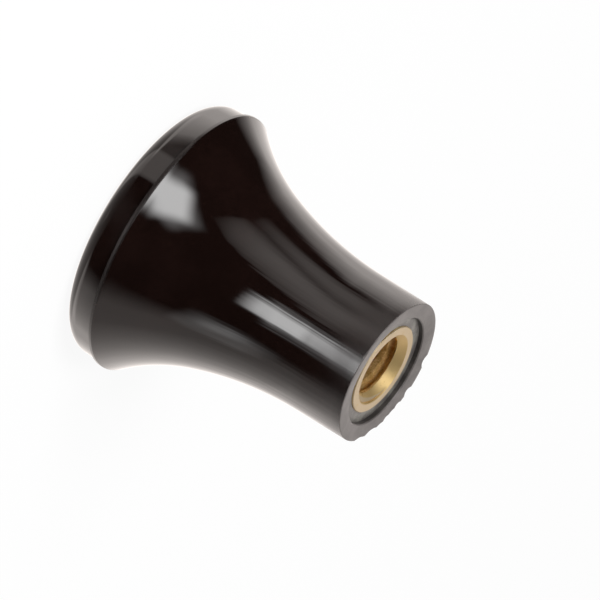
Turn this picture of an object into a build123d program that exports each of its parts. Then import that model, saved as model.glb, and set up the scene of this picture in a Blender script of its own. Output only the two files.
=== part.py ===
from build123d import *
from math import pi, radians, sqrt, tan
import os

# Flared pull knob: a black phenolic moulding with a knurled brass insert moulded into its stem.
# It stands on its flat front face. +Z runs along the axis to the stem's end and the insert's mouth.
# Lengths are millimetres and angles are degrees.

# Head
head_height = 2.93
lip_diameter = 23.7
lip_overhang = 0.22
lip_land_height = 0.25
lip_edge_share = 0.4
band_draft = 1.8
front_edge_radius = 1.45

# Stem and flare: a drafted straight run, a gentle neck arc and a tighter arc out to the lip
stem_length = 21.37
stem_end_diameter = 12.8
stem_draft = 0.6
stem_straight_length = 5.0
neck_radius = 31.2
neck_turn = 18.3

# End of the stem: a flat rim, a shallow dish inside it and a recess round the insert's mouth
rim_land_width = 0.3
dish_depth = 0.15
recess_diameter = 9.9
recess_depth = 0.6
recess_edge_chamfer = 0.08

# Chips in the rim of the stem's end: azimuth in degrees, then shares of the chip size
chip_size = 1.0
rim_chip_shares = [
    # azimuth, ball radius share, bite share
    (269.0, 3.00, 0.12),
    (112.0, 0.75, 0.35),
    (85.5, 0.55, 0.42),
    (79.0, 1.20, 0.14),
    (72.5, 0.60, 0.39),
    (65.0, 1.80, 0.31),
    (59.0, 0.65, 0.37),
    (50.5, 1.80, 0.22),
    (39.5, 2.30, 0.34),
    (25.0, 3.40, 0.21),
]

# Insert: a plain collar at the mouth, two knurled bands with a groove between them, and a plain lead
insert_setback = 0.46
insert_length = 12.7
collar_diameter = 8.0
collar_height = 1.6
collar_chamfer = 0.06
knurl_diameter = 8.4
knurl_depth = 0.25
knurl_pitch = 0.9
groove_width = 2.2
groove_depth = 0.65
lead_diameter = 7.2
lead_length = 1.2
lead_chamfer = 0.4

# Blind hole for a quarter inch thread with twenty turns to the inch, at the thread's crests
bore_diameter = 5.2
bore_depth = 9.8
mouth_diameter = 6.5
mouth_angle = 82
drill_point_angle = 118

# Radii and heights that follow from the sizes above
overall_height = head_height + stem_length
lip_radius = lip_diameter / 2
band_radius = lip_radius - lip_overhang
front_radius = band_radius - head_height * tan(radians(band_draft))
stem_end_radius = stem_end_diameter / 2
recess_radius = recess_diameter / 2
recess_floor = overall_height - recess_depth
knurl_radius = knurl_diameter / 2
knurl_teeth = round(pi * knurl_diameter / knurl_pitch)
insert_top = overall_height - insert_setback
insert_bottom = insert_top - insert_length
knurl_bottom = insert_bottom + lead_length
knurl_height = insert_length - lead_length - collar_height
groove_bottom = knurl_bottom + (knurl_height - groove_width) / 2
drill_point_height = bore_diameter / 2 / tan(radians(drill_point_angle / 2))

# The outside of the insert, which is also the cavity that it leaves in the moulding
with BuildPart() as insert_form:
    with BuildSketch(Plane.XY.offset(insert_bottom)):
        Circle(lead_diameter / 2)
    extrude(amount=lead_length)
    chamfer(insert_form.faces().sort_by(Axis.Z)[0].edges(), lead_chamfer)
    with BuildSketch(Plane.XY.offset(knurl_bottom)):
        Circle(knurl_radius)
        with PolarLocations(knurl_radius, knurl_teeth):
            RegularPolygon(knurl_depth, side_count=4, mode=Mode.SUBTRACT)
    extrude(amount=knurl_height)
    with BuildSketch(Plane.XY.offset(groove_bottom)):
        Circle(knurl_radius)
        Circle(knurl_radius - groove_depth, mode=Mode.SUBTRACT)
    extrude(amount=groove_width, mode=Mode.SUBTRACT)
    with BuildSketch(Plane.XY.offset(insert_top - collar_height)):
        Circle(collar_diameter / 2)
    extrude(amount=collar_height)
    chamfer(insert_form.faces().sort_by(Axis.Z)[-1].edges(), collar_chamfer)

# The brass insert: that form with its countersunk blind hole
with BuildPart() as threaded_insert:
    add(insert_form.part)
    with Locations((0, 0, insert_top)):
        CounterSinkHole(
            bore_diameter / 2,
            mouth_diameter / 2,
            depth=bore_depth,
            counter_sink_angle=mouth_angle,
        )
    with Locations((0, 0, insert_top - bore_depth)):
        Cone(
            0,
            bore_diameter / 2,
            drill_point_height,
            align=(Align.CENTER, Align.CENTER, Align.MAX),
            mode=Mode.SUBTRACT,
        )

# The moulding: head, lip, flare and stem in one turn of its profile
with BuildPart() as knob_body:
    with BuildSketch(Plane.XZ):
        with BuildLine():
            front = Line((0, 0), (front_radius, 0))
            band = Line(front @ 1, (band_radius, head_height))
            ledge = Line(band @ 1, (lip_radius, head_height))
            land = Line(ledge @ 1, (lip_radius, head_height + lip_land_height))
            rim = Line(
                (stem_end_radius - rim_land_width, overall_height),
                (stem_end_radius, overall_height),
            )
            stem = PolarLine(
                rim @ 1,
                stem_straight_length,
                angle=stem_draft - 90,
                length_mode=LengthMode.VERTICAL,
            )
            neck = JernArc(stem @ 1, stem % 1, neck_radius, neck_turn)
            TangentArc(neck @ 1, land @ 1, tangent=neck % 1)
            dish = Line(rim @ 0, (recess_radius, overall_height - dish_depth))
            Polyline(dish @ 1, (recess_radius, recess_floor), (0, recess_floor), front @ 0)
        make_face()
    revolve(axis=Axis.Z)
    fillet(knob_body.faces().sort_by(Axis.Z)[0].edges(), front_edge_radius)
    lip_land = knob_body.faces().filter_by(GeomType.CYLINDER).sort_by(Axis.Z)[0]
    lip_edge = lip_land.edges().filter_by(Plane.XY).sort_by(Axis.Z)[-1]
    fillet(lip_edge, lip_land_height * lip_edge_share)
    # Softened edge between the dish and the recess
    dish_ring = knob_body.faces().filter_by(GeomType.CONE).sort_by(Axis.Z)[-1]
    dish_edge = dish_ring.edges().filter_by(GeomType.CIRCLE).sort_by(SortBy.RADIUS)[0]
    chamfer(dish_edge, recess_edge_chamfer)
    # Shell-shaped chips, each a ball that bites the rim along the corner's diagonal
    for azimuth, ball_share, bite_share in rim_chip_shares:
        standoff = chip_size * (ball_share - bite_share) / sqrt(2)
        with Locations(Location((0, 0, overall_height), (0, 0, azimuth))):
            with Locations((stem_end_radius + standoff, 0, standoff)):
                Sphere(chip_size * ball_share, mode=Mode.SUBTRACT)
    # Seat of the insert
    add(insert_form.part, mode=Mode.SUBTRACT)

knob_body.part.label = "knob_body"
threaded_insert.part.label = "threaded_insert"

os.makedirs("parts", exist_ok=True)
export_step(knob_body.part, "parts/knob_body.step")
export_step(threaded_insert.part, "parts/threaded_insert.step")
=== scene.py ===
"""Flared pull knob: a polished black moulding with a threaded brass insert in the end of its stem.

The knob stands on its flat front face, and +Z runs along its axis to the insert's mouth.
"""

from math import atan2, cos, hypot, pi, radians, sin, tan

import bmesh
import bpy
from bpy.props import FloatProperty, FloatVectorProperty, IntProperty, PointerProperty
from bpy.types import Operator, Panel, PropertyGroup
from mathutils import Matrix, Vector


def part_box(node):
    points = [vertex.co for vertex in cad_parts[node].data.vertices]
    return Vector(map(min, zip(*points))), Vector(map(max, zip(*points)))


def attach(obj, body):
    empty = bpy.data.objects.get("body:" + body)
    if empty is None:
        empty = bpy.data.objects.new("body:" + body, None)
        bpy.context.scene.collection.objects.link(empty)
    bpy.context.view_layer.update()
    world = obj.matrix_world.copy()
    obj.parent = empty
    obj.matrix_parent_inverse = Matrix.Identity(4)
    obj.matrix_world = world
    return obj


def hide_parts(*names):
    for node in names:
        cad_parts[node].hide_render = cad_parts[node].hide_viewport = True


bl_info = {
    "name": "Flared pull knob",
    "version": (1, 0, 0),
    "blender": (4, 5, 0),
    "location": "3D View > Sidebar > Knob",
    "description": "Models a flared pull knob with a threaded brass insert, and a stage for it",
    "category": "Object",
}

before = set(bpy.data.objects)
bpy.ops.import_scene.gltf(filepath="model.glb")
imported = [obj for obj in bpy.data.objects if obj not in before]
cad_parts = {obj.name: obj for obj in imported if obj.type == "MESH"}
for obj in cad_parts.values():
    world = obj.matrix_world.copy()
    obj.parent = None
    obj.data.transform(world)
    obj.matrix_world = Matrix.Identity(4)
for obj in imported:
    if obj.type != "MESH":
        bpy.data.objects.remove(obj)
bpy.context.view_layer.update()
moulding_low, moulding_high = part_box("knob_body")
insert_low, insert_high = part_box("threaded_insert")

MM = 0.001

# Points closer than this, in metres, are one point
WELD = 1e-7

# Steps of the turned shapes and the chips' balls, and the bend up to which faces are shaded as one
TURN_STEPS = 192
ARC_STEP = radians(1.5)
EDGE_STEP = radians(9)
TOOTH_POINTS = 4
THREAD_STEPS = 96
BALL_SUBDIVISIONS = 4
SMOOTH_ANGLE = radians(28)

# A ring of points this far below the stem's end, so that the chips cut only short facets
END_RING_DEPTH = 1.0 * MM

# Form of the thread: half of its root's flat as a share of the pitch, and the slope of its flanks
HALF_FLAT_SHARE = 1 / 16
FLANK_ANGLE = radians(30)

# Chips in the rim of the stem's end: azimuth in degrees, ball radius and bite in millimetres
RIM_CHIPS = (
    (269.0, 3.00, 0.12),
    (112.0, 0.75, 0.35),
    (85.5, 0.55, 0.42),
    (79.0, 1.20, 0.14),
    (72.5, 0.60, 0.39),
    (65.0, 1.80, 0.31),
    (59.0, 0.65, 0.37),
    (50.5, 1.80, 0.22),
    (39.5, 2.30, 0.34),
    (25.0, 3.40, 0.21),
)


def length(name, description, millimetres):
    return FloatProperty(
        name=name,
        description=description,
        default=millimetres * MM,
        min=0.0,
        unit="LENGTH",
        precision=5,
    )


def angle(name, description, degrees):
    return FloatProperty(
        name=name, description=description, default=radians(degrees), subtype="ANGLE"
    )


def colour(name, description, rgb):
    return FloatVectorProperty(
        name=name, description=description, default=rgb, size=3, min=0.0, max=1.0, subtype="COLOR"
    )


def level(name, description, default):
    return FloatProperty(
        name=name, description=description, default=default, min=0.0, max=1.0, subtype="FACTOR"
    )


class MouldingSizes(PropertyGroup):
    """Sizes of the moulding"""

    overall_height: length("Overall height", "Front face to the stem's end", moulding_high.z / MM)
    lip_diameter: length(
        "Lip diameter", "Across the lip of the head", (moulding_high.x - moulding_low.x) / MM
    )
    head_height: length("Head height", "Front face to the underside of the lip", 2.93)
    lip_overhang: length("Lip overhang", "How far the lip stands out from the band", 0.22)
    lip_land_height: length("Lip land", "Height of the straight edge of the lip", 0.25)
    lip_edge_radius: length("Lip rounding", "Rounding between the lip and the flare", 0.1)
    band_draft: angle("Band draft", "Slope of the band round the head", 1.8)
    front_edge_radius: length("Front rounding", "Rounding of the front face's edge", 1.45)
    stem_end_diameter: length("Stem end diameter", "Across the end of the stem", 12.8)
    stem_draft: angle("Stem draft", "Slope of the straight part of the stem", 0.6)
    stem_straight_length: length("Straight stem", "Length of the straight part of the stem", 5.0)
    neck_radius: length("Neck radius", "Radius of the gentle arc below the straight stem", 31.2)
    neck_turn: angle("Neck turn", "Turn of the gentle arc", 18.3)
    rim_edge_radius: length("Rim rounding", "Rounding of the stem end's outer edge", 0.06)
    rim_land_width: length("Rim width", "Width of the flat rim at the stem's end", 0.3)
    dish_depth: length("Dish depth", "How far the stem's end is dished inside its rim", 0.15)
    recess_diameter: length("Recess diameter", "Across the recess round the insert", 9.9)
    recess_depth: length("Recess depth", "Depth of the recess round the insert, below the rim", 0.6)
    recess_edge_chamfer: length("Recess chamfer", "Chamfer of the recess's edge", 0.08)


class InsertSizes(PropertyGroup):
    """Sizes of the threaded insert"""

    top: length("Top", "Height of the insert's mouth", insert_high.z / MM)
    bottom: length("Bottom", "Height of the insert's closed end", insert_low.z / MM)
    collar_diameter: length("Collar diameter", "Across the plain collar at the mouth", 8.0)
    collar_height: length("Collar height", "Height of the plain collar", 1.6)
    collar_chamfer: length("Collar chamfer", "Chamfer of the collar's edge", 0.06)
    collar_undercut: length("Collar undercut", "Chamfer under the collar", 0.06)
    knurl_diameter: length("Knurl diameter", "Across the tips of the knurl", 8.4)
    knurl_depth: length("Knurl depth", "Depth of the knurl", 0.25)
    knurl_teeth: IntProperty(name="Knurl teeth", description="Teeth round the knurl", default=29, min=6)
    groove_width: length("Groove width", "Width of the groove between the knurled bands", 2.2)
    groove_depth: length("Groove depth", "Depth of that groove", 0.65)
    lead_diameter: length("Lead diameter", "Across the plain closed end", 7.2)
    lead_length: length("Lead length", "Length of the plain closed end", 1.2)
    lead_chamfer: length("Lead chamfer", "Chamfer of the closed end", 0.4)
    bore_diameter: length("Bore diameter", "Across the crests of the thread", 5.2)
    bore_depth: length("Bore depth", "Depth of the bore to its drill point", 9.8)
    mouth_diameter: length("Mouth diameter", "Across the countersink at the mouth", 6.5)
    mouth_angle: angle("Mouth angle", "Angle of the countersink", 82)
    drill_point_angle: angle("Drill point angle", "Angle of the bore's bottom", 118)
    thread_diameter: length("Thread diameter", "Across the roots of the thread", 6.35)
    thread_pitch: length("Thread pitch", "Rise of the thread in one turn", 1.27)
    thread_depth: length("Thread run", "Depth to which the thread is cut", 8.6)
    thread_start: angle("Thread start", "Azimuth at which the thread starts", -25)


class KnobFinishes(PropertyGroup):
    """Colours of the finishes"""

    phenolic: colour("Phenolic", "Colour of the moulding", (0.0065, 0.0029, 0.0023))
    phenolic_ground: colour("Ground phenolic", "Colour of the stem's ground end", (0.082, 0.073, 0.070))
    # Dust lies in the recess, and its colour is also made pale enough to paint light on the floor
    # against the shade near the wall
    phenolic_dust_and_light: colour("Dust", "Colour of dust in the recess", (0.17, 0.165, 0.145))
    brass_face: colour("Brass face", "Colour of the dulled end of the insert", (0.56, 0.45, 0.30))
    brass: colour("Brass", "Colour of the brass in the mouth", (0.58, 0.42, 0.19))
    brass_tarnish: colour("Tarnish", "Colour of tarnished brass", (0.36, 0.22, 0.07))


class StageSettings(PropertyGroup):
    """Camera, floor and light"""

    camera_elevation: angle("Camera elevation", "Height of the camera above the horizon", 20.6)
    camera_roll: angle("Camera roll", "Turn of the camera about its own axis", 121.94)
    camera_distance: length("Camera distance", "Camera to the stem's end", 1905.0)
    frame_width: length("Frame width", "Width of the picture at the stem's end", 48.4183)
    aim_right: length("Aim right", "How far right of the picture's middle the stem's end is", 7.088)
    aim_down: length("Aim down", "How far below the picture's middle the stem's end is", 5.862)
    floor_width: length("Floor width", "Width of the floor", 1600.0)
    floor_colour: colour("Floor colour", "Colour of the floor", (0.90, 0.90, 0.90))
    floor_glow: level("Floor glow", "How far the floor is plain white to the camera", 0.92)
    room_level: level("Room light", "Level of the even light from all round", 0.40)
    lamp_side: angle("Lamp side", "How far right of the camera the key lamp stands", 41.5)
    lamp_distance: length("Lamp distance", "Key lamp to the middle of the front face", 500.0)
    lamp_width: length("Lamp width", "Width of the square key lamp", 250.0)
    lamp_power: FloatProperty(
        name="Lamp power", description="Power of the key lamp", default=2.3, min=0.0, unit="POWER"
    )


def clear_selection():
    if bpy.context.object and bpy.context.object.mode != "OBJECT":
        bpy.ops.object.mode_set(mode="OBJECT")
    bpy.ops.object.select_all(action="DESELECT")


def make_active(piece):
    clear_selection()
    piece.select_set(True)
    bpy.context.view_layer.objects.active = piece


def name_new(name):
    piece = bpy.context.object
    piece.name = piece.data.name = name
    return piece


def select_points(piece, test):
    """In edit mode, selects the points whose place passes the test."""
    mesh = bmesh.from_edit_mesh(piece.data)
    for point in mesh.verts:
        point.select_set(test(point.co))
    mesh.select_flush_mode()
    bmesh.update_edit_mesh(piece.data)


def close_up():
    """In edit mode, welds the seams and turns the faces outwards."""
    bpy.ops.mesh.select_all(action="SELECT")
    bpy.ops.mesh.remove_doubles(threshold=WELD)
    bpy.ops.mesh.normals_make_consistent(inside=False)
    bpy.ops.object.mode_set(mode="OBJECT")


def arc(centre, radius, start, end, step):
    """Points of an arc from one angle to the other, both ends included."""
    count = max(2, round(abs(end - start) / step))
    turns = [start + (end - start) * i / count for i in range(count + 1)]
    return [(centre[0] + radius * cos(a), centre[1] + radius * sin(a)) for a in turns]


def rounded(before, corner, after, radius):
    """Points of the rounding of a corner between two straight runs."""
    into = (Vector(before) - Vector(corner)).normalized()
    out = (Vector(after) - Vector(corner)).normalized()
    half = into.angle(out) / 2
    middle = (into + out).normalized()
    centre = Vector(corner) + middle * radius / sin(half)
    first = Vector(corner) + into * radius / tan(half) - centre
    start, turn = atan2(first.y, first.x), pi - 2 * half
    if into.x * out.y - into.y * out.x > 0:
        turn = -turn
    return arc(centre, radius, start, start + turn, EDGE_STEP)


def draw_outline(name, points):
    """Draws an outline in the XZ plane, point by point, and leaves it selected in edit mode."""
    clear_selection()
    bpy.ops.mesh.primitive_plane_add(size=MM, location=(0, 0, 0))
    piece = name_new(name)
    bpy.ops.object.mode_set(mode="EDIT")
    bpy.ops.mesh.select_all(action="SELECT")
    bpy.ops.mesh.merge(type="CENTER")
    bpy.ops.transform.translate(value=(points[0][0], 0, points[0][1]))
    for (r0, z0), (r1, z1) in zip(points, points[1:]):
        bpy.ops.mesh.extrude_vertices_move(TRANSFORM_OT_translate={"value": (r1 - r0, 0, z1 - z0)})
    bpy.ops.mesh.select_all(action="SELECT")
    return piece


def turned(name, points):
    """Spins an outline that starts and ends on the axis into a closed solid."""
    piece = draw_outline(name, points)
    bpy.ops.mesh.spin(steps=TURN_STEPS, angle=2 * pi, center=(0, 0, 0), axis=(0, 0, 1))
    close_up()
    return piece


def cut(piece, cutter):
    """Cuts one solid out of another and removes the cutter."""
    make_active(piece)
    bpy.ops.object.modifier_add(type="BOOLEAN")
    modifier = piece.modifiers[-1]
    modifier.operation = "DIFFERENCE"
    modifier.solver = "EXACT"
    modifier.object = cutter
    bpy.ops.object.modifier_apply(modifier=modifier.name)
    bpy.data.objects.remove(cutter)
    if not piece.data.polygons:
        raise RuntimeError(f"The cut left nothing of {piece.name}")


def moulding_outline(sizes):
    """The moulding's outline from the front face's middle round to the recess's middle."""
    height, lip = sizes.overall_height, sizes.lip_diameter / 2
    band = lip - sizes.lip_overhang
    front = band - sizes.head_height * tan(sizes.band_draft)
    head_top, land_top = sizes.head_height, sizes.head_height + sizes.lip_land_height
    end, recess = sizes.stem_end_diameter / 2, sizes.recess_diameter / 2
    floor = height - sizes.recess_depth
    straight, slope = sizes.stem_straight_length, tan(sizes.stem_draft)

    # The straight stem, the neck arc and the flare arc, from the stem's end down
    foot = Vector((end + straight * slope, height - straight))
    first, last = sizes.stem_draft, sizes.stem_draft + sizes.neck_turn
    neck_centre = foot + sizes.neck_radius * Vector((cos(first), sin(first)))
    neck = arc(neck_centre, -sizes.neck_radius, first, last, ARC_STEP)
    lean, reach = Vector((cos(last), sin(last))), Vector((lip, land_top)) - Vector(neck[-1])
    flare_radius = reach.length_squared / (2 * reach.dot(lean))
    flare_centre = Vector(neck[-1]) + flare_radius * lean
    lip_lean = atan2(flare_centre.y - land_top, flare_centre.x - lip)
    lip_run = sizes.lip_edge_radius * tan(lip_lean / 2)
    flare = arc(flare_centre, -flare_radius, last, lip_lean - lip_run / flare_radius, ARC_STEP)
    back_along_flare = (lip - sin(lip_lean), land_top + cos(lip_lean))

    points = [(0, 0)]
    points += rounded((0, 0), (front, 0), (band, head_top), sizes.front_edge_radius)
    points += [(band, head_top), (lip, head_top)]
    points += rounded((lip, head_top), (lip, land_top), back_along_flare, sizes.lip_edge_radius)
    points += flare[-2::-1] + neck[-2::-1]
    points += [(end + END_RING_DEPTH * slope, height - END_RING_DEPTH)]
    # Only the stem's direction counts in this point, which lies on the line of its straight run
    down_stem = (end + slope, height - 1)
    points += rounded(down_stem, (end, height), (0, height), sizes.rim_edge_radius)
    rim = Vector((end - sizes.rim_land_width, height))
    recess_edge = Vector((recess, height - sizes.dish_depth))
    chamfer = sizes.recess_edge_chamfer
    points += [tuple(rim), tuple(recess_edge + (rim - recess_edge).normalized() * chamfer)]
    points += [(recess, recess_edge.y - chamfer), (recess, floor), (0, floor)]
    return points


def blank_rings(sizes):
    """The insert's outside from its closed end up: height, tip radius and root radius of each ring."""
    lead, collar = sizes.lead_diameter / 2, sizes.collar_diameter / 2
    tip = sizes.knurl_diameter / 2
    root, groove = tip - sizes.knurl_depth, tip - sizes.groove_depth
    knurl_bottom = sizes.bottom + sizes.lead_length
    knurl_top = sizes.top - sizes.collar_height
    groove_bottom = (knurl_bottom + knurl_top - sizes.groove_width) / 2
    groove_top = groove_bottom + sizes.groove_width
    neck = root - sizes.collar_undercut / 2
    return [
        (sizes.bottom, lead - sizes.lead_chamfer, lead - sizes.lead_chamfer),
        (sizes.bottom + sizes.lead_chamfer, lead, lead),
        (knurl_bottom, lead, lead),
        (knurl_bottom, tip, root),
        (groove_bottom, tip, root),
        (groove_bottom, groove, groove),
        (groove_top, groove, groove),
        (groove_top, tip, root),
        (knurl_top, tip, root),
        (knurl_top, neck, neck),
        (knurl_top + sizes.collar_undercut, collar, collar),
        (sizes.top - sizes.collar_chamfer, collar, collar),
        (sizes.top, collar - sizes.collar_chamfer, collar - sizes.collar_chamfer),
    ]


def insert_blank(name, sizes):
    """Extrudes the insert's outside ring by ring, with four points to a tooth of the knurl."""
    rings = blank_rings(sizes)
    step = 2 * pi / sizes.knurl_teeth
    clear_selection()
    bpy.ops.mesh.primitive_circle_add(
        vertices=TOOTH_POINTS * sizes.knurl_teeth,
        radius=rings[0][1],
        fill_type="NGON",
        location=(0, 0, 0),
    )
    piece = name_new(name)
    bpy.ops.object.mode_set(mode="EDIT")
    bpy.ops.mesh.select_all(action="SELECT")
    bpy.ops.transform.translate(value=(0, 0, rings[0][0]))
    for (z0, tip0, root0), (z1, tip1, root1) in zip(rings, rings[1:]):
        bpy.ops.mesh.extrude_region_move(TRANSFORM_OT_translate={"value": (0, 0, z1 - z0)})
        new = {tuple(v.co) for v in bmesh.from_edit_mesh(piece.data).verts if v.select}
        for scale, at_root in ((tip1 / tip0, False), (root1 / root0, True)):
            select_points(
                piece,
                lambda co: tuple(co) in new and is_root(co, step) == at_root,
            )
            before = {tuple(v.co) for v in bmesh.from_edit_mesh(piece.data).verts if v.select}
            bpy.ops.transform.resize(value=(scale, scale, 1), center_override=(0, 0, z1))
            new -= before
            new |= {tuple(v.co) for v in bmesh.from_edit_mesh(piece.data).verts if v.select}
        select_points(piece, lambda co: tuple(co) in new)
    close_up()
    return piece


def is_root(co, step):
    """Whether a point lies at the root between two teeth."""
    share = (atan2(co.y, co.x) / step) % 1
    return min(share, 1 - share) < 0.5 / TOOTH_POINTS


def countersink_seat(sizes):
    """Height at which the countersink meets the bore."""
    depth = (sizes.mouth_diameter / 2 - sizes.bore_diameter / 2) / tan(sizes.mouth_angle / 2)
    return sizes.top - depth


def bore_outline(sizes):
    """The blind hole's outline from its drill point up through the countersink."""
    bore, mouth = sizes.bore_diameter / 2, sizes.mouth_diameter / 2
    shoulder = sizes.top - sizes.bore_depth
    point = shoulder - bore / tan(sizes.drill_point_angle / 2)
    seat = countersink_seat(sizes)
    above = sizes.top + sizes.collar_chamfer
    rim = mouth + sizes.collar_chamfer * tan(sizes.mouth_angle / 2)
    middle = (bore + mouth) / 2
    return [
        (0, point),
        (bore, shoulder),
        (bore, seat),
        (middle, (seat + sizes.top) / 2),
        (rim, above),
        (0, above),
    ]


def thread_tap(name, sizes):
    """Screws the outline of one thread round the axis into a tap."""
    pitch, crest = sizes.thread_pitch, sizes.bore_diameter / 2
    core, root = crest - sizes.collar_chamfer, sizes.thread_diameter / 2
    flat = pitch * HALF_FLAT_SHARE
    flank = (root - core) * tan(FLANK_ANGLE)
    middle = pitch / 2
    base = sizes.top - sizes.thread_depth
    outline = [
        (core, base),
        (core, base + middle - flat - flank),
        (root, base + middle - flat),
        (root, base + middle + flat),
        (core, base + middle + flat + flank),
        (core, base + pitch),
    ]
    piece = draw_outline(name, outline)
    bpy.ops.transform.rotate(value=-sizes.thread_start, orient_axis="Z", center_override=(0, 0, 0))
    bpy.ops.object.mode_set(mode="OBJECT")
    bpy.ops.object.modifier_add(type="SCREW")
    modifier = piece.modifiers[-1]
    modifier.axis = "Z"
    modifier.angle = 2 * pi
    modifier.screw_offset = pitch
    modifier.iterations = round(sizes.thread_depth / pitch) + 1
    modifier.steps = modifier.render_steps = THREAD_STEPS
    modifier.use_merge_vertices = True
    modifier.merge_threshold = WELD
    bpy.ops.object.modifier_apply(modifier=modifier.name)
    bpy.ops.object.mode_set(mode="EDIT")
    bpy.ops.mesh.select_all(action="SELECT")
    bpy.ops.mesh.remove_doubles(threshold=WELD)
    # Each open end is drawn in to a point on the axis
    for low, high in ((base - pitch, base + 2 * pitch), (sizes.top - pitch, sizes.top + 3 * pitch)):
        bpy.ops.mesh.select_all(action="DESELECT")
        bpy.ops.mesh.select_non_manifold()
        mesh = bmesh.from_edit_mesh(piece.data)
        loop = {v.index for v in mesh.verts if v.select and low < v.co.z < high}
        for edge in mesh.edges:
            edge.select_set(edge.is_boundary and all(v.index in loop for v in edge.verts))
        bmesh.update_edit_mesh(piece.data)
        bpy.ops.mesh.extrude_region_move(TRANSFORM_OT_translate={"value": (0, 0, 0)})
        bpy.ops.transform.resize(value=(0, 0, 0), center_override=(0, 0, (low + high) / 2))
        bpy.ops.mesh.remove_doubles(threshold=WELD)
    close_up()
    return piece


def add_node(tree, kind, settings=None, **sockets):
    """Adds a node, sets its properties and fills its sockets with values or links."""
    node = tree.nodes.new(kind)
    for key, value in (settings or {}).items():
        setattr(node, key, value)
    for key, value in sockets.items():
        fill_socket(tree, node.inputs[key.replace("_", " ")], value)
    return node


def fill_socket(tree, socket, value):
    if isinstance(value, bpy.types.NodeSocket):
        tree.links.new(value, socket)
    else:
        socket.default_value = value


def fill_sockets(tree, node, values):
    """Fills a node's first sockets in order."""
    for socket, value in zip(node.inputs, values):
        fill_socket(tree, socket, value)


def math_node(tree, operation, *values):
    node = add_node(tree, "ShaderNodeMath", {"operation": operation})
    fill_sockets(tree, node, values)
    return node.outputs[0]


def vector_node(tree, operation, *values):
    node = add_node(tree, "ShaderNodeVectorMath", {"operation": operation})
    fill_sockets(tree, node, values)
    return node.outputs["Value" if operation in ("DOT_PRODUCT", "LENGTH") else "Vector"]


def ramp_value(tree, value, low, high, smooth=True):
    """A value that climbs from 0 at low to 1 at high."""
    settings = {"interpolation_type": "SMOOTHSTEP" if smooth else "LINEAR"}
    node = add_node(
        tree, "ShaderNodeMapRange", settings, Value=value, From_Min=low, From_Max=high
    )
    return node.outputs["Result"]


def blend_colour(tree, amount, first, second):
    """Passes from one colour to the other as the amount climbs from 0 to 1."""
    node = add_node(tree, "ShaderNodeMix", {"data_type": "RGBA"}, Factor=amount)
    for socket, rgb in zip([s for s in node.inputs if s.type == "RGBA"], (first, second)):
        socket.default_value = (*rgb, 1.0)
    return [s for s in node.outputs if s.type == "RGBA"][0]


def mix_shaders(tree, amount, first, second):
    mix = tree.nodes.new("ShaderNodeMixShader")
    fill_sockets(tree, mix, (amount, first, second))
    return mix.outputs[0]


def new_group(name, inputs, outputs):
    """A shader node group with named sockets: name, kind and default of each input."""
    group = bpy.data.node_groups.new(name, "ShaderNodeTree")
    for key, kind, default in inputs:
        socket = group.interface.new_socket(name=key, in_out="INPUT", socket_type=kind)
        if default is not None:
            socket.default_value = default
    for key, kind in outputs:
        group.interface.new_socket(name=key, in_out="OUTPUT", socket_type=kind)
    return group, group.nodes.new("NodeGroupInput"), group.nodes.new("NodeGroupOutput")


VALUE, VECTOR = "NodeSocketFloat", "NodeSocketVector"

# The mottle's finer clouds: how much finer they are, and their share
FINE_CLOUD_RATIO = 9.0
FINE_CLOUD_SHARE = 0.3

# How fast the streaks change along the axis, per metre
STREAK_DRIFT = 5.0

# How much the height counts beside the radius in the turning marks, so that walls have them too
WALL_MARKS = 0.7

# A light panel is seen only by directions that face it by more than this
LEAST_FACING = 0.001


def mottle_group(name):
    """Cloudy patches of two sizes, as smears and dust lie on a surface."""
    group, given, put = new_group(
        name,
        [("Vector", VECTOR, None), ("Scale", VALUE, 400.0), ("Low", VALUE, 0.45), ("High", VALUE, 0.7)],
        [("Mask", VALUE), ("Grain", VALUE)],
    )
    taken = given.outputs
    fine_scale = math_node(group, "MULTIPLY", taken["Scale"], FINE_CLOUD_RATIO)
    broad, fine = (
        add_node(group, "ShaderNodeTexNoise", Vector=taken["Vector"], Scale=scale, Detail=detail)
        for scale, detail in ((taken["Scale"], 4.0), (fine_scale, 3.0))
    )
    broad_part = math_node(group, "MULTIPLY", broad.outputs["Fac"], 1.0 - FINE_CLOUD_SHARE)
    mixed = math_node(group, "MULTIPLY_ADD", fine.outputs["Fac"], FINE_CLOUD_SHARE, broad_part)
    mask = ramp_value(group, mixed, taken["Low"], taken["High"])
    group.links.new(mask, put.inputs["Mask"])
    group.links.new(fine.outputs["Fac"], put.inputs["Grain"])
    return group


def axis_group(name):
    """Distance from the axis and height along it."""
    group, given, put = new_group(
        name, [("Vector", VECTOR, None)], [("Radius", VALUE), ("Height", VALUE)]
    )
    apart = add_node(group, "ShaderNodeSeparateXYZ", Vector=given.outputs["Vector"])
    flat = add_node(group, "ShaderNodeCombineXYZ", X=apart.outputs["X"], Y=apart.outputs["Y"])
    group.links.new(vector_node(group, "LENGTH", flat.outputs["Vector"]), put.inputs["Radius"])
    group.links.new(apart.outputs["Z"], put.inputs["Height"])
    return group


def streak_group(name):
    """Streaks along the moulding, which change only a little on their way up."""
    group, given, put = new_group(
        name, [("Vector", VECTOR, None), ("Fineness", VALUE, 14.0)], [("Height", VALUE)]
    )
    taken = given.outputs
    flat = vector_node(group, "MULTIPLY", taken["Vector"], (1, 1, 0))
    outward = vector_node(group, "NORMALIZE", flat)
    lift = vector_node(group, "MULTIPLY", taken["Vector"], (0, 0, STREAK_DRIFT))
    around = vector_node(group, "ADD", outward, lift)
    noise = add_node(group, "ShaderNodeTexNoise", Vector=around, Scale=taken["Fineness"])
    noise.inputs["Detail"].default_value = 2.0
    noise.inputs["Roughness"].default_value = 0.6
    group.links.new(noise.outputs["Fac"], put.inputs["Height"])
    return group


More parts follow.
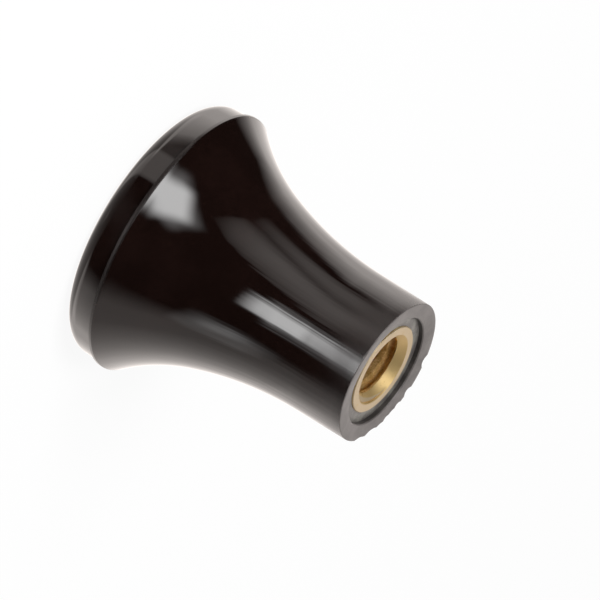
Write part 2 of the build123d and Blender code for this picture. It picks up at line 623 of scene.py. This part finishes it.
def turning_group(name):
    """Fine rings round the axis, as a lathe or a grinding disc leaves them."""
    group, given, put = new_group(
        name, [("Vector", VECTOR, None), ("Spacing", VALUE, 0.1 * MM)], [("Height", VALUE)]
    )
    spot = place_group(group, "Axis place", Vector=given.outputs["Vector"])
    along = math_node(group, "MULTIPLY_ADD", spot["Height"], WALL_MARKS, spot["Radius"])
    rings = math_node(group, "DIVIDE", along, given.outputs["Spacing"])
    line = add_node(group, "ShaderNodeCombineXYZ", X=rings).outputs["Vector"]
    noise = add_node(group, "ShaderNodeTexNoise", Vector=line, Scale=1.0, Detail=2.0)
    group.links.new(noise.outputs["Fac"], put.inputs["Height"])
    return group


def panel_group(name):
    """Mask of a soft-edged light panel, seen in a direction."""
    group, given, put = new_group(
        name,
        [
            ("Direction", VECTOR, None),
            ("Facing", VECTOR, None),
            ("Side", VECTOR, None),
            ("Half width", VALUE, 0.2),
            ("Half height", VALUE, 0.2),
            ("Softness", VALUE, 0.05),
        ],
        [("Mask", VALUE)],
    )
    taken = given.outputs
    rise = vector_node(group, "CROSS_PRODUCT", taken["Facing"], taken["Side"])
    ahead = vector_node(group, "DOT_PRODUCT", taken["Direction"], taken["Facing"])
    safe = math_node(group, "MAXIMUM", ahead, LEAST_FACING)
    mask = math_node(group, "GREATER_THAN", ahead, LEAST_FACING)
    for axis, half in ((taken["Side"], taken["Half width"]), (rise, taken["Half height"])):
        offset = vector_node(group, "DOT_PRODUCT", taken["Direction"], axis)
        across = math_node(group, "DIVIDE", offset, safe)
        outer = math_node(group, "ADD", half, taken["Softness"])
        inner = math_node(group, "SUBTRACT", half, taken["Softness"])
        edge = ramp_value(group, math_node(group, "ABSOLUTE", across), inner, outer)
        mask = math_node(group, "MULTIPLY", mask, math_node(group, "SUBTRACT", 1.0, edge))
    group.links.new(mask, put.inputs["Mask"])
    return group


GROUPS = {
    "Mottle": mottle_group,
    "Axis place": axis_group,
    "Streaks": streak_group,
    "Turning marks": turning_group,
    "Light panel": panel_group,
}


def place_group(tree, name, **sockets):
    """Places a node group, which is built the first time that it is used, and gives its outputs."""
    group = bpy.data.node_groups.get(name) or GROUPS[name](name)
    return add_node(tree, "ShaderNodeGroup", {"node_tree": group}, **sockets).outputs


def start_material(name):
    """A material with its Principled shader, and the piece's own Object coordinates."""
    material = bpy.data.materials.new(name)
    material.use_nodes = True
    tree = material.node_tree
    tree.nodes.clear()
    shader = tree.nodes.new("ShaderNodeBsdfPrincipled")
    put = tree.nodes.new("ShaderNodeOutputMaterial")
    tree.links.new(shader.outputs["BSDF"], put.inputs["Surface"])
    place = tree.nodes.new("ShaderNodeTexCoord").outputs["Object"]
    return material, tree, shader, place


# Gloss of the moulding: roughness where it is clean, and what smears, the lip, the lip's scuffs and
# the stem's end add to it
PHENOLIC_IOR = 1.58
CLEAN_ROUGHNESS = 0.05
SMEAR_ROUGHNESS = 0.03
LIP_ROUGHNESS = 0.14
SCUFF_ROUGHNESS = 0.28
END_ROUGHNESS = 0.2

# Shades of the moulding's colour between smears and in them
CLEAN_SHADE, SMEAR_SHADE = 0.85, 1.2

# Scuffs on the lip: where they start and are full towards -Y, as shares of the lip's radius, and the
# share of the gloss that they take away
SCUFF_START, SCUFF_FULL = 0.7, 0.88
SCUFF_DULLING = 0.46

# The run below the stem's end that is duller, and the heights at which streaks start and are full
DULL_END_RUN = 5 * MM
STREAK_START, STREAK_FULL = 8 * MM, 14 * MM

# Depths of the ripple and of the streaks
RIPPLE_DEPTH = 0.012 * MM
STREAK_DEPTH = 0.013 * MM


def polished_phenolic(finishes, sizes):
    """Glossy black phenolic with a brown mottle and a ripple, duller on the lip and the stem's end."""
    material, tree, shader, place = start_material("phenolic_polished")
    mottle = place_group(tree, "Mottle", Vector=place, Scale=260.0, Low=0.42, High=0.66)
    base = Vector(finishes.phenolic)
    tint = blend_colour(tree, mottle["Mask"], base * CLEAN_SHADE, base * SMEAR_SHADE)
    tree.links.new(tint, shader.inputs["Base Color"])
    spot = place_group(tree, "Axis place", Vector=place)
    lip, overhang, height = sizes.lip_diameter / 2, sizes.lip_overhang, sizes.overall_height
    on_lip = ramp_value(tree, spot["Radius"], lip - overhang / 2, lip - overhang / 4)
    at_end = ramp_value(tree, spot["Height"], height - DULL_END_RUN, height)
    # The lip is scuffed most towards -Y
    near = vector_node(tree, "DOT_PRODUCT", place, (0, -1, 0))
    near_side = ramp_value(tree, near, lip * SCUFF_START, lip * SCUFF_FULL)
    scuffed = math_node(tree, "MULTIPLY", on_lip, near_side)
    rough = CLEAN_ROUGHNESS
    for mask, added in (
        (mottle["Mask"], SMEAR_ROUGHNESS),
        (on_lip, LIP_ROUGHNESS),
        (scuffed, SCUFF_ROUGHNESS),
        (at_end, END_ROUGHNESS),
    ):
        rough = math_node(tree, "MULTIPLY_ADD", mask, added, rough)
    tree.links.new(rough, shader.inputs["Roughness"])
    # On so dark a colour a metallic share only takes gloss away, and the export keeps it
    dulled = math_node(tree, "MULTIPLY", scuffed, SCUFF_DULLING)
    tree.links.new(dulled, shader.inputs["Metallic"])
    ripple = add_node(tree, "ShaderNodeTexNoise", Vector=place, Scale=420.0, Detail=1.0)
    waves = add_node(tree, "ShaderNodeBump", Height=ripple.outputs["Fac"], Distance=RIPPLE_DEPTH)
    on_stem = ramp_value(tree, spot["Height"], STREAK_START, STREAK_FULL)
    streaks = place_group(tree, "Streaks", Vector=place)
    fine = math_node(tree, "MULTIPLY", streaks["Height"], on_stem)
    bump = add_node(tree, "ShaderNodeBump", Height=fine, Distance=STREAK_DEPTH)
    for node in (waves, bump):
        node.inputs["Strength"].default_value = 1.0
    tree.links.new(waves.outputs["Normal"], bump.inputs["Normal"])
    tree.links.new(bump.outputs["Normal"], shader.inputs["Normal"])
    shader.inputs["IOR"].default_value = PHENOLIC_IOR
    return material


def ground_phenolic(name, low, high):
    """Dull ground phenolic between two colours, with rings from grinding."""
    material, tree, shader, place = start_material(name)
    mottle = place_group(tree, "Mottle", Vector=place, Scale=700.0, Low=0.4, High=0.62)
    rings = place_group(tree, "Turning marks", Vector=place, Spacing=0.12 * MM)
    tree.links.new(blend_colour(tree, mottle["Mask"], low, high), shader.inputs["Base Color"])
    rough = add_node(tree, "ShaderNodeMapRange", Value=mottle["Grain"], To_Min=0.36, To_Max=0.5)
    tree.links.new(rough.outputs["Result"], shader.inputs["Roughness"])
    both = math_node(tree, "ADD", rings["Height"], mottle["Grain"])
    bump = add_node(tree, "ShaderNodeBump", Height=both, Strength=0.3, Distance=0.03 * MM)
    tree.links.new(bump.outputs["Normal"], shader.inputs["Normal"])
    shader.inputs["IOR"].default_value = PHENOLIC_IOR
    return material


# Levels of the mottle at which tarnish starts and is full, less each finish's own tarnish
TARNISH_START, TARNISH_FULL = 0.62, 0.82

# The thin film on old brass leaves it not fully metallic
BRASS_METALLIC = 0.75


def brass(name, bright, dull, tarnish, rough_low, rough_high):
    """Turned brass, dulled and browned where the tarnish lies."""
    material, tree, shader, place = start_material(name)
    low, high = TARNISH_START - tarnish, TARNISH_FULL - tarnish
    mottle = place_group(tree, "Mottle", Vector=place, Scale=900.0, Low=low, High=high)
    rings = place_group(tree, "Turning marks", Vector=place, Spacing=0.09 * MM)
    tree.links.new(blend_colour(tree, mottle["Mask"], bright, dull), shader.inputs["Base Color"])
    rough = add_node(
        tree, "ShaderNodeMapRange", Value=mottle["Mask"], To_Min=rough_low, To_Max=rough_high
    )
    tree.links.new(rough.outputs["Result"], shader.inputs["Roughness"])
    bump = add_node(
        tree, "ShaderNodeBump", Height=rings["Height"], Strength=0.25, Distance=0.02 * MM
    )
    tree.links.new(bump.outputs["Normal"], shader.inputs["Normal"])
    shader.inputs["Metallic"].default_value = BRASS_METALLIC
    return material


def assign(piece, materials, zone):
    """Gives each face the material that zone picks for it by its middle and normal."""
    for material in materials:
        piece.data.materials.append(material)
    for face in piece.data.polygons:
        face.material_index = zone(face.center, face.normal)


def seat_piece(piece, node):
    """Clears slivers from a finished piece, shades it and ties it to the frame."""
    make_active(piece)
    bpy.ops.object.mode_set(mode="EDIT")
    bpy.ops.mesh.select_all(action="SELECT")
    bpy.ops.mesh.dissolve_degenerate(threshold=WELD)
    bpy.ops.object.mode_set(mode="OBJECT")
    bpy.ops.object.shade_smooth_by_angle(angle=SMOOTH_ANGLE)
    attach(piece, "root")
    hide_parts(node)


# Places of the finishes in each piece's list of materials
POLISHED, GROUND, RECESS, CHIPS_AND_WALL_SHADE = range(4)
COLLAR, COUNTERSINK, THREAD = range(3)

# Least upward part of the normal of a face that counts as a floor, and as the dish
FLOOR_LEVEL = 0.5
DISH_LEVEL = 0.6

# Slack in telling the stem's wall from a chip, and the countersink's slope from the flat ring
WALL_SLACK = 0.01 * MM
SLOPE_SLACK = 0.02

# Darkest and palest shades of the ground colour on the rim, in the recess and in the chips, whose dark
# colour also serves as painted shade on the recess's wall
RIM_DARK, RIM_PALE = 0.8, 1.25
RECESS_DARK = 0.9
CHIP_AND_WALL_SHADE_DARK, CHIP_AND_WALL_SHADE_PALE = 0.3, 0.7

# Painted light: the thread's brass is this many times as bright as the countersink's, to lighten the
# bore, which lies in shade
THREAD_PAINTED_LIGHT = 1.5


def chip_rim(piece, sizes):
    """Bites the chips out of the rim, each with a ball set out along the corner's diagonal."""
    for azimuth, ball, bite in RIM_CHIPS:
        standoff = (ball - bite) * MM * sin(radians(45))
        out = sizes.stem_end_diameter / 2 + standoff
        turn = radians(azimuth)
        clear_selection()
        bpy.ops.mesh.primitive_ico_sphere_add(
            subdivisions=BALL_SUBDIVISIONS,
            radius=ball * MM,
            location=(out * cos(turn), out * sin(turn), sizes.overall_height + standoff),
        )
        cut(piece, name_new("chip_cutter"))


class KNOB_OT_moulding(Operator):
    """Turn the moulding, seat the insert in it and chip its rim"""

    bl_idname = "knob.moulding"
    bl_label = "Moulding"

    def execute(self, context):
        sizes = context.scene.knob_moulding
        finishes = context.scene.knob_finishes
        piece = turned("moulding", moulding_outline(sizes))
        cut(piece, insert_blank("seat_cutter", context.scene.knob_insert))
        chip_rim(piece, sizes)
        rim, recess = sizes.stem_end_diameter / 2, sizes.recess_diameter / 2
        draft = tan(sizes.stem_draft)

        def zone(middle, normal):
            depth, out = sizes.overall_height - middle.z, hypot(middle.x, middle.y)
            if depth > sizes.recess_depth + WELD:
                return POLISHED
            if out < recess + WELD:
                # Painted shade: the recess's wall takes the chips' dark colour, as if it lay in shadow
                return RECESS if normal.z > FLOOR_LEVEL else CHIPS_AND_WALL_SHADE
            in_dish = out < rim - sizes.rim_land_width and normal.z > DISH_LEVEL
            if depth < sizes.rim_edge_radius or in_dish:
                return GROUND
            on_stem = out > rim + depth * draft - WALL_SLACK
            return POLISHED if on_stem else CHIPS_AND_WALL_SHADE

        ground, dust = Vector(finishes.phenolic_ground), Vector(finishes.phenolic_dust_and_light)
        materials = [
            polished_phenolic(finishes, sizes),
            ground_phenolic("phenolic_ground", ground * RIM_DARK, ground * RIM_PALE),
            # The recess's floor: mottled dust, partly painted light that lifts the shade near its wall
            ground_phenolic("phenolic_recess", ground * RECESS_DARK, dust),
            # Broken faces of the chips, and painted shade on the recess's wall
            ground_phenolic("phenolic_chipped_and_wall_shade", ground * CHIP_AND_WALL_SHADE_DARK, ground * CHIP_AND_WALL_SHADE_PALE),
        ]
        assign(piece, materials, zone)
        seat_piece(piece, "knob_body")
        return {"FINISHED"}


class KNOB_OT_threaded_insert(Operator):
    """Turn and knurl the insert, bore it and tap its thread"""

    bl_idname = "knob.threaded_insert"
    bl_label = "Threaded insert"

    def execute(self, context):
        sizes = context.scene.knob_insert
        finishes = context.scene.knob_finishes
        piece = insert_blank("insert", sizes)
        cut(piece, turned("bore_cutter", bore_outline(sizes)))
        cut(piece, thread_tap("tap_cutter", sizes))
        seat = countersink_seat(sizes)
        slope_level = sin(sizes.mouth_angle / 2) + SLOPE_SLACK

        def zone(middle, normal):
            if middle.z < seat or normal.z < FLOOR_LEVEL:
                return THREAD
            return COUNTERSINK if normal.z < slope_level else COLLAR

        face, bright, dull = (
            Vector(rgb) for rgb in (finishes.brass_face, finishes.brass, finishes.brass_tarnish)
        )
        materials = [
            brass("brass_collar", face, bright, tarnish=0.06, rough_low=0.55, rough_high=0.65),
            brass("brass_countersink", bright, dull, tarnish=0.04, rough_low=0.5, rough_high=0.6),
            # Painted light: the thread's brass colours are brightened to lift the shade in the bore
            brass(
                "brass_thread",
                bright * THREAD_PAINTED_LIGHT,
                dull * THREAD_PAINTED_LIGHT,
                tarnish=0.2,
                rough_low=0.34,
                rough_high=0.46,
            ),
        ]
        assign(piece, materials, zone)
        seat_piece(piece, "threaded_insert")
        return {"FINISHED"}


WHITE = (1, 1, 1, 1)
WARM_WHITE = (1.0, 0.93, 0.89, 1)

# Light panels as the camera sees them in the moulding's gloss: degrees right and down from the
# camera, half width, half height, softness of the edge, turn in the picture, and brightness
LIGHT_PANELS = (
    (39.9, -4.0, 17.5, 11.2, 5.0, 7.7, 1.49),
    (40.4, -1.7, 11.6, 11.0, 5.0, 26.9, 7.58),
    (-37.2, -3.8, 8.2, 18.4, 3.5, -35.0, 0.98),
    (-33.6, -1.7, 10.6, 10.0, 4.5, -26.3, 7.1),
    (-43.8, 57.1, 12.5, 11.6, 4.6, 26.0, 0.49),
    (-43.7, 53.9, 6.0, 4.9, 5.0, -4.0, 1.23),
)

# Soft sheets are bounded by straight edges. Each edge is a direction right, down and ahead of the
# camera, where the sheet starts along it, and how far it takes to fill.
SKYLIGHT_EDGES = (
    ((-0.628, -0.777, -0.037), 0.29, 0.297),
    ((-0.083, -0.265, 0.961), -0.265, 0.2),
    ((-0.17, 0.35, -0.921), -0.325, 0.156),
    ((0.3, -0.954, 0.0), 0.55, 0.1),
)

# Sheets overhead: brightness and edges. The brightest sheet in a direction is the one that shows.
OVERHEAD_SHEETS = (
    (
        1.16,
        (
            ((-0.653, -0.548, -0.522), 0.31, 0.31),
            ((0.04, -0.986, 0.163), 0.29, 0.33),
            ((-0.038, 0.667, -0.744), -0.285, 0.188),
            ((0.659, 0.659, 0.364), -0.92, 0.027),
        ),
    ),
    (0.9, SKYLIGHT_EDGES + (((0.43, 0.899, -0.082), -0.845, 0.02),)),
    (0.33, SKYLIGHT_EDGES),
    (
        1.0,
        (
            ((0.721, -0.571, 0.394), -0.06, 0.06),
            ((-0.78, 0.092, -0.619), 0.13, 0.06),
            ((-0.705, -0.235, 0.67), -0.03, 0.04),
        ),
    ),
)

# The white table and the sweep behind it: brightness, what it gains towards the far side, and edges
WHITE_SHEETS = (
    (0.6, 1.22, (((0.028, 0.425, 0.905), -0.095, 0.312), ((-0.207, 0.637, 0.743), -0.028, 0.367))),
    (
        2.1,
        0.5,
        (
            ((-0.551, 0.086, 0.83), -0.205, 0.131),
            ((-0.643, -0.493, 0.586), 0.118, 0.423),
            ((-0.21, -0.134, 0.968), -0.132, 0.22),
        ),
    ),
)

# How a sheet fills from its edges: 1 is even, and less is quicker at first
OVERHEAD_FILL = 0.5
WHITE_FILL = 1.0

# Level of the room where no sheet shows
DARK_ROOM = 0.01

# Where the white gains from and to, by how far a direction points ahead
FAR_SIDE = (0.055, 0.976)

# Most white in a direction: its change as the direction turns ahead, its level, and its least
WHITE_LIMIT_SLOPE = -4.0
WHITE_LIMIT = 4.6
WHITE_LIMIT_LEAST = 1.5

# The ground gives way to the white between these rises, which a direction to the side meets sooner
GROUND_EDGE = (-0.5, -0.34)
SIDE_RISE = 0.35

# The ground's level, its gain towards +Y, its further gain towards -X there, and a strip behind the
# knob: brightness, where it starts and is full towards +Y, and where it ends to either side
GROUND_LEVEL = 0.62
GROUND_GAIN = 0.6
GROUND_SIDE_GAIN = -1.5
STRIP_LEVEL = 0.85
STRIP_RUN = (0.25, 0.55)
STRIP_SIDES = (0.18, 0.06)

# Shade of the floor's faint clouds
FLOOR_CLOUDS = 0.995

# The camera sees from its distance divided by this to its distance times this
CLIP_RATIO = 10


def camera_axes(stage):
    """Right, down and ahead of the camera in the part's frame."""
    rise = Vector((0, sin(stage.camera_elevation), cos(stage.camera_elevation)))
    ahead = Vector((0, cos(stage.camera_elevation), -sin(stage.camera_elevation)))
    side = Vector((1, 0, 0))
    roll = stage.camera_roll
    return cos(roll) * side + sin(roll) * rise, sin(roll) * side - cos(roll) * rise, ahead


def panel_light(tree, direction, axes):
    """Light of all the panels in a direction."""
    right, down, ahead = axes
    total = 0.0
    for across, below, width, height, softness, turn, brightness in LIGHT_PANELS:
        spread = radians(hypot(across, below))
        heading = (right * across + down * below).normalized()
        facing = sin(spread) * heading - cos(spread) * ahead
        side = (right - facing * right.dot(facing)).normalized()
        side = cos(radians(turn)) * side + sin(radians(turn)) * facing.cross(side)
        panel = place_group(
            tree,
            "Light panel",
            Direction=direction,
            Facing=facing,
            Side=side,
            Half_width=tan(radians(width)),
            Half_height=tan(radians(height)),
            Softness=tan(radians(softness)),
        )
        total = math_node(tree, "MULTIPLY_ADD", panel["Mask"], brightness, total)
    return total


def sheet_light(tree, direction, axes, brightness, edges, fill):
    """Light of one soft sheet in a direction."""
    right, down, ahead = axes
    light = brightness
    for (across, below, beyond), begin, run in edges:
        axis = (across * right + below * down + beyond * ahead).normalized()
        along = vector_node(tree, "DOT_PRODUCT", direction, axis)
        filled = ramp_value(tree, along, begin, begin + run, smooth=False)
        light = math_node(tree, "MULTIPLY", light, math_node(tree, "POWER", filled, fill))
    return light


def overhead_light(tree, direction, axes):
    """Light of the sheets overhead in a direction."""
    light = DARK_ROOM
    for brightness, edges in OVERHEAD_SHEETS:
        sheet = sheet_light(tree, direction, axes, brightness, edges, OVERHEAD_FILL)
        light = math_node(tree, "MAXIMUM", light, sheet)
    return light


def white_light(tree, direction, axes):
    """Light of the white table and the sweep in a direction, held back straight ahead."""
    forward = vector_node(tree, "DOT_PRODUCT", direction, axes[2])
    climb = ramp_value(tree, forward, *FAR_SIDE, smooth=False)
    light = 0.0
    for brightness, gain, edges in WHITE_SHEETS:
        level_there = math_node(tree, "MULTIPLY_ADD", climb, gain, brightness)
        sheet = sheet_light(tree, direction, axes, level_there, edges, WHITE_FILL)
        light = math_node(tree, "MAXIMUM", light, sheet)
    limit = math_node(tree, "MULTIPLY_ADD", forward, WHITE_LIMIT_SLOPE, WHITE_LIMIT)
    limit = math_node(tree, "MAXIMUM", limit, WHITE_LIMIT_LEAST)
    return math_node(tree, "MINIMUM", light, limit)


def over_ground(tree, direction, white):
    """The white in a direction, or below the knob the ground, which brightens towards the far side."""
    lateral, away, rise = (
        vector_node(tree, "DOT_PRODUCT", direction, axis)
        for axis in ((1, 0, 0), (0, 1, 0), (0, 0, 1))
    )
    flank = math_node(tree, "ABSOLUTE", lateral)
    ground = math_node(tree, "MULTIPLY_ADD", away, GROUND_GAIN, GROUND_LEVEL)
    lean = math_node(tree, "MULTIPLY", lateral, GROUND_SIDE_GAIN)
    lean = math_node(tree, "MAXIMUM", lean, 0.0)
    behind = math_node(tree, "MAXIMUM", away, 0.0)
    ground = math_node(tree, "MULTIPLY_ADD", behind, lean, ground)
    strip = ramp_value(tree, away, *STRIP_RUN)
    strip = math_node(tree, "MULTIPLY", strip, ramp_value(tree, flank, *STRIP_SIDES))
    ground = math_node(tree, "MULTIPLY_ADD", strip, STRIP_LEVEL, ground)
    above = ramp_value(tree, math_node(tree, "MULTIPLY_ADD", flank, SIDE_RISE, rise), *GROUND_EDGE)
    ground = math_node(tree, "MULTIPLY", ground, math_node(tree, "SUBTRACT", 1.0, above))
    return math_node(tree, "MULTIPLY_ADD", white, above, ground)


def studio_world(stage):
    """White to the camera, a plain even light on dull surfaces, and the studio in gloss."""
    world = bpy.data.worlds.new("studio")
    bpy.context.scene.world = world
    world.use_nodes = True
    world.cycles.sampling_method = "NONE"
    tree = world.node_tree
    tree.nodes.clear()
    axes = camera_axes(stage)
    direction = tree.nodes.new("ShaderNodeTexCoord").outputs["Generated"]
    white = over_ground(tree, direction, white_light(tree, direction, axes))
    soft = math_node(tree, "ADD", overhead_light(tree, direction, axes), white)
    plain, panels, sheets, backdrop = (
        add_node(tree, "ShaderNodeBackground", Color=tint, Strength=strength).outputs[0]
        for tint, strength in (
            (WHITE, stage.room_level),
            (WHITE, panel_light(tree, direction, axes)),
            (WARM_WHITE, soft),
            (WHITE, 1.0),
        )
    )
    gloss = tree.nodes.new("ShaderNodeAddShader")
    fill_sockets(tree, gloss, (panels, sheets))
    paths = tree.nodes.new("ShaderNodeLightPath").outputs
    lit = mix_shaders(tree, paths["Is Glossy Ray"], plain, gloss.outputs[0])
    straight = math_node(tree, "MAXIMUM", paths["Is Camera Ray"], paths["Is Transmission Ray"])
    put = tree.nodes.new("ShaderNodeOutputWorld")
    tree.links.new(mix_shaders(tree, straight, lit, backdrop), put.inputs["Surface"])


def pale_floor(stage):
    """A pale floor that keeps a soft shadow, mostly plain white to the camera."""
    clear_selection()
    bpy.ops.mesh.primitive_plane_add(size=stage.floor_width, location=(0, 0, 0))
    floor = name_new("floor")
    material = bpy.data.materials.new("pale_floor")
    material.use_nodes = True
    tree = material.node_tree
    tree.nodes.clear()
    place = tree.nodes.new("ShaderNodeTexCoord").outputs["Object"]
    mottle = place_group(tree, "Mottle", Vector=place, Scale=20.0)
    tone = Vector(stage.floor_colour)
    tint = blend_colour(tree, mottle["Mask"], tone, tone * FLOOR_CLOUDS)
    matte = add_node(tree, "ShaderNodeBsdfDiffuse", Color=tint).outputs[0]
    glow = add_node(tree, "ShaderNodeEmission", Color=WHITE, Strength=1.0).outputs[0]
    paths = tree.nodes.new("ShaderNodeLightPath").outputs
    seen = math_node(tree, "MULTIPLY", paths["Is Camera Ray"], stage.floor_glow)
    put = tree.nodes.new("ShaderNodeOutputMaterial")
    tree.links.new(mix_shaders(tree, seen, matte, glow), put.inputs["Surface"])
    floor.data.materials.append(material)
    floor.visible_glossy = False


def key_lamp(stage):
    """A square soft lamp, to the right as the camera sees it, that lights dull surfaces only."""
    right, down, ahead = camera_axes(stage)
    facing = sin(stage.lamp_side) * right - cos(stage.lamp_side) * ahead
    clear_selection()
    bpy.ops.object.light_add(type="AREA", location=facing * stage.lamp_distance)
    lamp = bpy.context.object
    lamp.name = lamp.data.name = "key_lamp"
    lamp.rotation_mode = "QUATERNION"
    lamp.rotation_quaternion = facing.to_track_quat("Z", "Y")
    lamp.data.shape = "SQUARE"
    lamp.data.size = stage.lamp_width
    lamp.data.energy = stage.lamp_power
    lamp.visible_glossy = False


def photo_camera(stage, height):
    """The camera, with the stem's end at its place in the picture."""
    right, down, ahead = camera_axes(stage)
    distance = stage.camera_distance
    aim = Vector((0, 0, height)) - stage.aim_right * right - stage.aim_down * down
    clear_selection()
    bpy.ops.object.camera_add(location=aim - distance * ahead)
    camera = bpy.context.object
    camera.name = camera.data.name = "photo_camera"
    camera.rotation_mode = "QUATERNION"
    camera.rotation_quaternion = Matrix((right, -down, -ahead)).transposed().to_quaternion()
    camera.data.lens = camera.data.sensor_width * distance / stage.frame_width
    camera.data.clip_start = distance / CLIP_RATIO
    camera.data.clip_end = distance * CLIP_RATIO
    bpy.context.scene.camera = camera


class KNOB_OT_stage(Operator):
    """Lay the floor and set up the light and the camera"""

    bl_idname = "knob.stage"
    bl_label = "Stage"

    def execute(self, context):
        stage = context.scene.knob_stage
        context.scene.view_settings.view_transform = "Standard"
        studio_world(stage)
        pale_floor(stage)
        key_lamp(stage)
        photo_camera(stage, context.scene.knob_moulding.overall_height)
        return {"FINISHED"}


class VIEW3D_PT_knob(Panel):
    """The knob's pieces and its stage"""

    bl_label = "Flared pull knob"
    bl_space_type = "VIEW_3D"
    bl_region_type = "UI"
    bl_category = "Knob"

    def draw(self, context):
        for operator in OPERATORS:
            self.layout.operator(operator.bl_idname)


OPERATORS = (KNOB_OT_moulding, KNOB_OT_threaded_insert, KNOB_OT_stage)
SETTINGS = {
    "knob_moulding": MouldingSizes,
    "knob_insert": InsertSizes,
    "knob_finishes": KnobFinishes,
    "knob_stage": StageSettings,
}
CLASSES = (*SETTINGS.values(), *OPERATORS, VIEW3D_PT_knob)


def register():
    for made in CLASSES:
        bpy.utils.register_class(made)
    for name, group in SETTINGS.items():
        setattr(bpy.types.Scene, name, PointerProperty(type=group))


def unregister():
    for name in SETTINGS:
        delattr(bpy.types.Scene, name)
    for made in reversed(CLASSES):
        bpy.utils.unregister_class(made)


def main():
    register()
    bpy.ops.knob.moulding()
    bpy.ops.knob.threaded_insert()
    bpy.ops.knob.stage()
    clear_selection()


if __name__ == "__main__":
    main()
